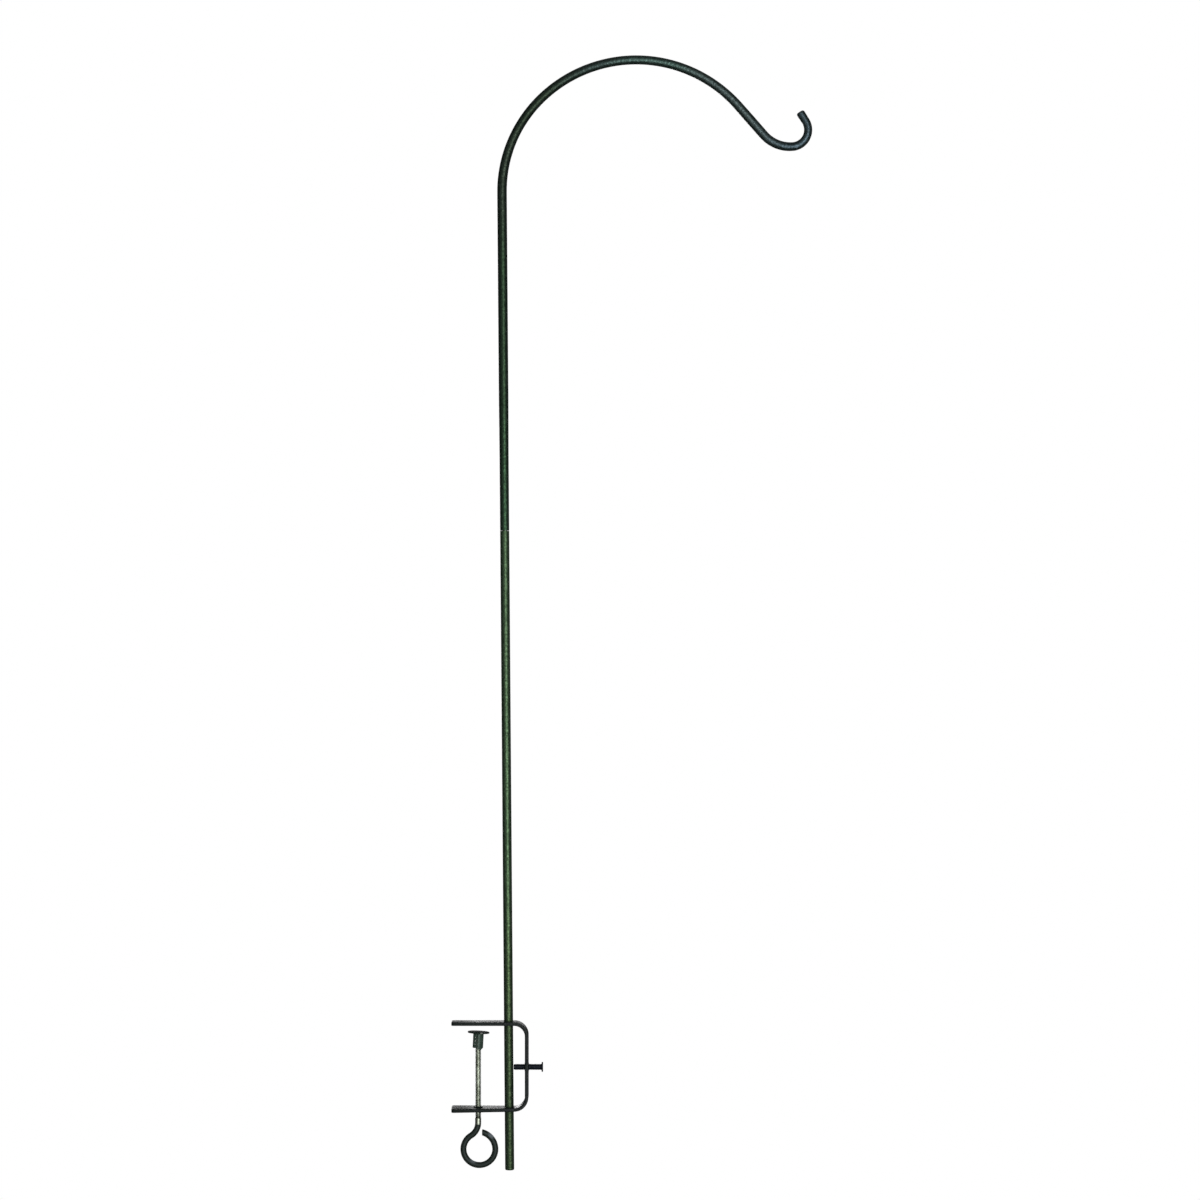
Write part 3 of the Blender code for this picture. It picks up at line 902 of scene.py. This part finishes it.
def sawn(mesh, place, rings):
    """The swept bar with its last rings sawn off upright at x = place, and the cut closed."""
    bm = bmesh.new()
    bm.from_mesh(mesh)
    tail = {vertex for vertex in bm.verts if vertex.index >= len(bm.verts) - rings * eye_sides}
    edges = [edge for edge in bm.edges if tail.issuperset(edge.verts)]
    faces = [face for face in bm.faces if tail.issuperset(face.verts)]
    cut = bmesh.ops.bisect_plane(
        bm,
        geom=[*tail, *edges, *faces],
        plane_co=(place, 0.0, 0.0),
        plane_no=(-1.0, 0.0, 0.0),
        clear_outer=True,
    )
    rim = [part for part in cut["geom_cut"] if isinstance(part, bmesh.types.BMEdge)]
    bmesh.ops.edgeloop_fill(bm, edges=rim)
    bm.to_mesh(mesh)
    bm.free()
    return mesh


eye_mesh = sawn(eye_mesh, saw_place, saw_rings)
clamp_screw = place_piece("clamp_screw_and_eye", [core, ridge_mesh, eye_mesh])

# %% The thread in the clamp's drawn hole
hole_radius = 0.003475
mesh_gap = 0.00006
inner_crest = 0.00272
hole_turns, turns_up = 4.3, 5
inner_root = 0.94 * pitch
inner_width = pitch - crest - 2 * mesh_gap - 2 * (screw_radius - inner_crest) * flank
# It starts a few turns and a half above the screw's own ridge, so it lies in the groove.
hole_thread_mesh = thread(
    "hole_thread",
    hole_radius + sunk,
    -(hole_radius + sunk - inner_crest),
    hole_turns,
    thread_foot + (turns_up + 0.5) * pitch,
    clamp_paint,
    root_width=inner_root,
    crest_width=inner_width,
)
hole_thread = place_piece("clamp_hole_thread", [hole_thread_mesh])

# %% [markdown]
# ## The thumb screw
#
# A short screw through the clamp's back holds the pole where it is set. Its head is a thin round
# plate, turned by finger and thumb, so its rim carries fine ribs for grip. The rim could be
# modelled rib by rib, but one rib repeated round a circle is the whole idea, and a tree says it.
# The screw is painted all over, so its thread is shallow and blunt: paint has filled it.

# %% Turn a profile round an axis
def lathe(name, profile, sides, material):
    """A solid turned about Z from (radius, height) points. The first and last lie on the axis."""
    vertices = [(0.0, 0.0, profile[0][1])]
    for radius, height in profile[1:-1]:
        for k in range(sides):
            angle = 2 * math.pi * k / sides
            vertices.append((radius * math.cos(angle), radius * math.sin(angle), height))
    vertices.append((0.0, 0.0, profile[-1][1]))
    rings = len(profile) - 2
    faces = []
    for k in range(sides):
        after = (k + 1) % sides
        faces.append((0, 1 + after, 1 + k))
        for ring in range(rings - 1):
            low, high = 1 + ring * sides, 1 + (ring + 1) * sides
            faces.append((low + k, low + after, high + after, high + k))
        low = 1 + (rings - 1) * sides
        faces.append((low + k, low + after, len(vertices) - 1))
    mesh = bpy.data.meshes.new(name)
    mesh.from_pydata(vertices, [], faces)
    mesh.materials.append(material)
    return mesh


def round_rim(radius, low, high, size, count=4):
    """The profile of a plate's rim, rounded over from its low face to its high one."""
    angles = [quarter * k / count for k in range(count + 1)]
    upper = [(radius - size + size * math.cos(a), high - size + size * math.sin(a)) for a in angles]
    return [(out, low + high - height) for out, height in reversed(upper)] + upper


# %% The knurl: one rib, round a rim
rib_sides = 8
knurl_tree, knurl_sizes = new_tree(
    "knurl",
    {
        "Count": count_kind,
        "Rim Radius": float_kind,
        "Rib Radius": float_kind,
        "Rib Length": float_kind,
        "Material": material_kind,
    },
)
rim = add_node(
    knurl_tree,
    "GeometryNodeMeshCircle",
    {"Vertices": knurl_sizes["Count"], "Radius": knurl_sizes["Rim Radius"]},
)
rib = add_node(
    knurl_tree,
    "GeometryNodeMeshCylinder",
    {"Vertices": rib_sides, "Radius": knurl_sizes["Rib Radius"], "Depth": knurl_sizes["Rib Length"]},
)
ribs = add_node(
    knurl_tree,
    "GeometryNodeInstanceOnPoints",
    {"Points": rim.outputs[0], "Instance": rib.outputs[0]},
)
end_tree(knurl_tree, ribs.outputs[0], knurl_sizes["Material"])

# %% The thumb screw's core and ridge
thumb_finish = paint(
    "thumb_finish", (0.005, 0.007, 0.011), (0.011, 0.014, 0.020), (0.84, 0.90, 1.0), 0.20, 0.38
)
thumb_height = -0.0441
to_thumb_axis = Matrix.Translation((0.0, 0.0, thumb_height)) @ Matrix.Rotation(quarter, 4, "Y")
thumb_tip, head_face, head_back = 0.03726, 0.0665, 0.0680
tip_bevel, neck_back, thread_back, shoulder_back, into_head = 0.0006, 0.0014, 0.0012, 0.0009, 0.0003
filled_depth, filled_crest = 0.00032, 0.00036
filled_radius = screw_radius - filled_depth

thumb_core = lathe(
    "thumb_core",
    [
        (0.0, thumb_tip),
        (filled_radius - tip_bevel, thumb_tip),
        (filled_radius, thumb_tip + tip_bevel),
        (filled_radius, head_face - neck_back),
        (screw_radius, head_face - shoulder_back),
        (screw_radius, head_face + into_head),
        (0.0, head_face + into_head),
    ],
    core_sides,
    thumb_finish,
)
thumb_start = thumb_tip + tip_bevel
thumb_turns = (head_face - thread_back - thumb_start) / pitch
thumb_ridge = thread(
    "thumb_ridge",
    filled_radius - sunk,
    filled_depth + sunk,
    thumb_turns,
    thumb_start,
    thumb_finish,
    crest_width=filled_crest,
)
print(f"thumb screw's thread: {thumb_turns:.1f} turns")

# %% Its head and knurl
head_radius, head_round, head_sides = 0.0052, 0.0003, 80
rib_count, rib_radius, rib_length = 44, 0.00022, 0.0010
dish_rim, dish_slope, dish_depth = 0.0016, 0.0003, 0.00025
rim_radius = head_radius - rib_radius
head = lathe(
    "thumb_head",
    [
        (0.0, head_face),
        *round_rim(rim_radius, head_face, head_back, head_round),
        (head_radius - dish_rim, head_back),
        (head_radius - dish_rim - dish_slope, head_back - dish_depth),
        (0.0, head_back - dish_depth),
    ],
    head_sides,
    thumb_finish,
)
knurl_values = {
    "Count": rib_count,
    "Rim Radius": rim_radius,
    "Rib Radius": rib_radius,
    "Rib Length": rib_length,
    "Material": thumb_finish,
}
head_middle = Matrix.Translation((0.0, 0.0, (head_face + head_back) / 2))
knurl = moved(run_tree("thumb_knurl", knurl_tree, knurl_values), head_middle)
thumb_parts = [thumb_core, thumb_ridge, head, knurl]
thumb_screw = place_piece("thumb_screw_and_head", thumb_parts, to_place=to_thumb_axis)

# %% [markdown]
# ## The pad and its sleeve
#
# The screw doesn't press on the rail itself: a thin round plate does, so that the wood isn't
# marked. The plate swivels on the screw's end inside a sleeve that is rolled from sheet. The
# sleeve is the roughest piece of the clamp: its two edges don't meet, one stands lower than the
# other, a corner is snipped off, and three pinches beside the seam hold the plate in. A plain
# tube would lose all this, so the sheet is laid out in rows and columns and then rolled up.

# %% The plate
plate_finish = paint(
    "plate_finish",
    (0.006, 0.010, 0.008),
    (0.016, 0.024, 0.019),
    (0.80, 1.0, 0.88),
    0.12,
    0.80,
    spots=[((0.0040, -0.0112, -0.0078), 0.0018)],
)
pad_middle, pad_tilt = Vector((0.0, 0.0, -0.0168)), math.radians(3.0)
on_pad_axis = Matrix.Translation(pad_middle) @ Matrix.Rotation(pad_tilt, 4, "Y")
plate_back, plate_face = 0.0082, 0.0098
plate_radius, plate_round, plate_sides = 0.01135, 0.0005, 96
hub_radius, hub_length = 0.003588, 0.0030
plate_mesh = lathe(
    "plate",
    [
        (0.0, plate_back - hub_length),
        (hub_radius, plate_back - hub_length),
        (hub_radius, plate_back),
        *round_rim(plate_radius, plate_back, plate_face, plate_round),
        (0.0, plate_face),
    ],
    plate_sides,
    plate_finish,
)
plate = place_piece("pad_plate", [plate_mesh], to_place=on_pad_axis)

# %% The sleeve's sheet
sleeve_finish = paint(
    "sleeve_finish",
    (0.018, 0.030, 0.023),
    (0.052, 0.082, 0.062),
    (0.80, 1.0, 0.88),
    0.30,
    0.40,
    spots=[
        ((-0.0024, -0.0045, -0.0126), 0.0013),
        ((-0.0026, -0.0045, -0.0163), 0.0013),
        ((-0.0028, -0.0045, -0.0200), 0.0013),
    ],
)
sleeve_inner, sleeve_outer = 0.003888, 0.005488
sleeve_top, long_foot, short_foot = 0.0079, -0.0087, -0.0073
sheet_edge = 0.00035
seam, seam_opening = math.radians(-95.0), 0.0009
seam_gap = seam_opening / sleeve_outer
snip_start, snip_span, snip_rise = 48.0, 34.0, 0.0015
pinch_side, pinch_heights, pinch_size = math.radians(239.0), (0.0041, 0.0004, -0.0033), 0.00085
spring_out, spring_span = 0.00012, 0.25


def sleeve_foot(angle):
    """How low the sheet reaches: long from the seam to its snipped corner, and short elsewhere."""
    turned = angle - seam
    if turned > math.pi:
        return short_foot
    snip = max(0.0, min(1.0, (math.degrees(turned) - snip_start) / snip_span))
    return long_foot + snip * snip_rise


def sleeve_out(angle, height):
    """The sheet's outer radius: its own, less the pinches, and a little sprung at the seam."""
    radius = sleeve_outer
    for pinch_height in pinch_heights:
        away = math.hypot((angle - pinch_side) * sleeve_outer, height - pinch_height)
        radius -= pinch_size * math.exp(-((away / pinch_size) ** 2))
    return radius + spring_out * math.exp(-(angle - seam) / spring_span)


# %% Roll it up
def skinned(name, loops, material):
    """A closed mesh on loops of points: each loop is joined to the next, and both ends close."""
    bm = bmesh.new()
    rings = [[bm.verts.new(point) for point in loop] for loop in loops]
    for one, other in zip(rings, rings[1:]):
        for k in range(len(one)):
            after = (k + 1) % len(one)
            bm.faces.new((one[k], one[after], other[after], other[k]))
    bm.faces.new(list(reversed(rings[0])))
    bm.faces.new(rings[-1])
    bmesh.ops.recalc_face_normals(bm, faces=bm.faces)
    mesh = bpy.data.meshes.new(name)
    bm.to_mesh(mesh)
    bm.free()
    mesh.materials.append(material)
    print(f"{name}: {len(rings)} loops of {len(rings[0])} points")
    return mesh


columns, rows = 144, 40
loops = []
for k in range(columns + 1):
    angle = seam + seam_gap / 2 + (2 * math.pi - seam_gap) * k / columns
    foot = sleeve_foot(angle)
    section = [(sleeve_inner, foot), (sleeve_outer - sheet_edge, foot)]
    for row in range(rows + 1):
        height = foot + sheet_edge + (sleeve_top - foot - 2 * sheet_edge) * row / rows
        section.append((sleeve_out(angle, height), height))
    section += [(sleeve_outer - sheet_edge, sleeve_top), (sleeve_inner, sleeve_top)]
    loops.append([(out * math.cos(angle), out * math.sin(angle), height) for out, height in section])
sleeve_mesh = skinned("sleeve", loops, sleeve_finish)
sleeve = place_piece("rolled_sleeve", [sleeve_mesh], to_place=on_pad_axis)

# %% [markdown]
# ## The clamp
#
# The clamp is one flat bar, bent twice over a former. Its edges are a little round, as rolled
# stock is, the corners of its free ends are snipped round, and its lower arm has a slight twist
# from the bending. Round each tapped hole the metal is drawn out into a low collar on both faces,
# which gives the thread more turns to hold on to. The bar's section is laid out at stations along
# its middle line, so each station can be made narrower at the ends or rolled for the twist. The
# collars and the holes are then added and cut with Booleans.

# %% The flat bar's middle line
bar_thickness, bar_width = 0.0037, 0.0254
arm_end, arm_bend_start = -0.0278, 0.0378
bend_inside = 0.0113
back_run = 0.0635
end_corner, edge_round = 0.0030, 0.0007
corner_steps, edge_steps, arm_steps = 7, 4, 16


def eased(size, count):
    """Distances from an end that follow a round of this size in even turns."""
    return [round(size * (1 - math.cos(quarter * k / count)), 7) for k in range(count + 1)]


end_stations = sorted({*eased(end_corner, corner_steps), *eased(edge_round, edge_steps)})
end_moves = [after - before for before, after in zip(end_stations, end_stations[1:])]
arm_moves = [(arm_bend_start - arm_end - end_corner) / arm_steps] * arm_steps
bend = (bend_inside + bar_thickness / 2, quarter)
clamp_moves = [*end_moves, *arm_moves, bend, back_run, bend, *arm_moves, *reversed(end_moves)]
clamp_start = Vector((arm_end, 0.0, bar_thickness / 2))
clamp_points = bent_path(clamp_start, Vector((1.0, 0.0, 0.0)), clamp_moves)
print("the clamp's bar:", len(clamp_points), "stations")

# %% Its section at each station
lower_arm = min(point.z for point in clamp_points)
level_slack = 0.001
twist, twist_shift, twisted_at_screw = math.radians(4.0), 0.00037, 0.6


def narrowed(half, rounding, from_end):
    """Half a measure of the bar, less what its rounded end takes off at a distance from the end."""
    short = max(0.0, rounding - from_end)
    return half - rounding + math.sqrt(max(0.0, rounding * rounding - short * short))


def flat_section(half_thick, half_wide):
    """A flat bar's section with round edges, as (through, across) pairs."""
    pairs = []
    size = min(edge_round, half_thick)
    for turn, (side_t, side_w) in enumerate(((1, 1), (-1, 1), (-1, -1), (1, -1))):
        for k in range(edge_steps + 1):
            angle = quarter * (turn + k / edge_steps)
            through = side_t * (half_thick - size) + size * math.cos(angle)
            pairs.append((through, side_w * (half_wide - size) + size * math.sin(angle)))
    return pairs


across = Vector((0.0, 1.0, 0.0))
loops = []
for k, point in enumerate(clamp_points):
    ahead = clamp_points[min(k + 1, len(clamp_points) - 1)] - clamp_points[max(k - 1, 0)]
    through = ahead.normalized().cross(across)
    from_end = min((point - clamp_points[0]).length, (point - clamp_points[-1]).length)
    twisted = 0.0
    if point.z < lower_arm + level_slack:
        twisted = (arm_bend_start - point.x) / (arm_bend_start - arm_end)
    roll = Matrix.Rotation(twist * twisted, 3, "X")
    half_thick = narrowed(bar_thickness / 2, edge_round, from_end)
    half_wide = narrowed(bar_width / 2, end_corner, from_end)
    middle = point - Vector((0.0, 0.0, twist_shift * twisted))
    section = flat_section(half_thick, half_wide)
    loops.append([middle + roll @ (through * a + across * b) for a, b in section])
clamp_mesh = skinned("clamp_bar", loops, clamp_paint)

# %% Tools that add and cut
tool_sides = 64
collar_rim, collar_waist = 0.004575, 0.00560
collar_bevel, collar_flare = 0.0002, 0.0004
drill_reach = 0.006


def collar(height):
    """The profile of a collar that stands out by height on both faces of the bar."""
    face = bar_thickness / 2
    upper = [
        (collar_waist + collar_flare, face - collar_bevel),
        (collar_waist, face + collar_bevel / 2),
        (collar_rim, face + height - collar_bevel),
        (collar_rim - collar_bevel, face + height),
        (0.0, face + height),
    ]
    return [(radius, -level) for radius, level in reversed(upper)] + upper


def drill(radius):
    """The profile of a drill that goes right through the bar."""
    return [(0.0, -drill_reach), (radius, -drill_reach), (radius, drill_reach), (0.0, drill_reach)]


def shaped(mesh, steps):
    """Add or cut away a round tool for each step of (operation, profile, place)."""
    body = bpy.data.objects.new("shaped", mesh)
    bpy.context.scene.collection.objects.link(body)
    tools = []
    for number, (operation, profile, matrix) in enumerate(steps):
        tool_mesh = moved(lathe("tool", profile, tool_sides, clamp_paint), matrix)
        tool = bpy.data.objects.new(f"tool_{number}", tool_mesh)
        bpy.context.scene.collection.objects.link(tool)
        tools.append(tool)
        change = body.modifiers.new(tool.name, "BOOLEAN")
        change.operation = operation
        change.solver = "EXACT"
        change.object = tool
    solved = body.evaluated_get(bpy.context.evaluated_depsgraph_get())
    result = bpy.data.meshes.new_from_object(solved)
    for spent in (body, *tools):
        bpy.data.objects.remove(spent)
    return result


# %% Collars on the tapped holes, and the holes themselves
pole_hole = 0.0055625
upper_arm_middle = clamp_points[0].z
lower_arm_middle = clamp_points[-1].z - twisted_at_screw * twist_shift
back_middle = max(point.x for point in clamp_points)

half_a_side = Matrix.Rotation(math.pi / tool_sides, 4, "Z")
at_screw = Matrix.Translation((0.0, 0.0, lower_arm_middle))
at_thumb = Matrix.Translation((back_middle, 0.0, thumb_height)) @ Matrix.Rotation(quarter, 4, "Y")
at_upper_pole = Matrix.Translation((axis_point.x, 0.0, upper_arm_middle))
at_lower_pole = Matrix.Translation((axis_point.x, 0.0, lower_arm_middle))
steps = [
    ("UNION", collar(height=0.0010), at_screw),
    ("UNION", collar(height=0.0004), at_thumb),
    ("DIFFERENCE", drill(hole_radius), at_screw @ half_a_side),
    ("DIFFERENCE", drill(hole_radius), at_thumb @ half_a_side),
    ("DIFFERENCE", drill(pole_hole), at_upper_pole),
    ("DIFFERENCE", drill(pole_hole), at_lower_pole),
]
clamp = place_piece("clamp_bar", [shaped(clamp_mesh, steps)], sharp=math.radians(30.0))

# %% [markdown]
# ## The stud inside the joint
#
# The stud that joins the two sections of the pole has the right shape already. It is never seen
# while they are together, but it gets the turned steel of its kind.

# %% Turned steel for the stud
dark_steel, light_steel = (0.34, 0.34, 0.33, 1.0), (0.50, 0.50, 0.49, 1.0)
ring_scale, ring_depth, steel_cloud_size = 900.0, 0.00002, 0.004


def turned_steel():
    """Plain steel with the fine rings that a lathe leaves."""
    material, tree, shader, place = start_material("turned_steel")
    wave = {"Vector": place, "Scale": ring_scale, "Distortion": 0.4}
    rings = add_node(tree, "ShaderNodeTexWave", wave, bands_direction="Z").outputs["Fac"]
    tone = noise(tree, place, steel_cloud_size, 3.0)
    surface = {
        "Base Color": blend(tree, tone, dark_steel, light_steel),
        "Roughness": spread(tree, tone, 0.28, 0.40),
        "Normal": bumps(tree, 0.4, ring_depth, rings),
        "Metallic": 1.0,
    }
    fill(tree, shader, surface)
    return material


stud_finish = turned_steel()
for slot in frame["nodes"]["joint_stud"].material_slots:
    slot.material = stud_finish
print("joint_stud takes", stud_finish.name)

# %% [markdown]
# ## Everything rides on its body
#
# The hook has six bodies. The clamp stays on the rail, and the other five move: the pole, the
# crook that turns on it, the pad, the clamp screw and the thumb screw. Each new piece rides on
# the body that carries it, so that it moves when the hook is adjusted, and all but the thread in
# the clamp's hole stand for the plain solids that they replace.

# %% Ride on the bodies and replace the solids
riders = [
    (clamp, "bracket", "clamp_bracket", "bracket_paint"),
    (lower_pole, "pole", "lower_pole", "pole_paint"),
    (crook, "crook_section", "crook", "pole_paint"),
    (clamp_screw, "clamp_screw", "eye_screw", "zinc"),
    (hole_thread, "bracket", None, "bracket_paint"),
    (thumb_screw, "thumb", "thumb_screw", "thumb_paint"),
    (plate, "pad", "pressure_pad", "pad_paint"),
    (sleeve, "pad", "swivel_sleeve", "pad_paint"),
]
for piece, body, node, slot in riders:
    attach(piece, body)
    if node:
        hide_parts(node)
    print(piece.name, "rides on", body)
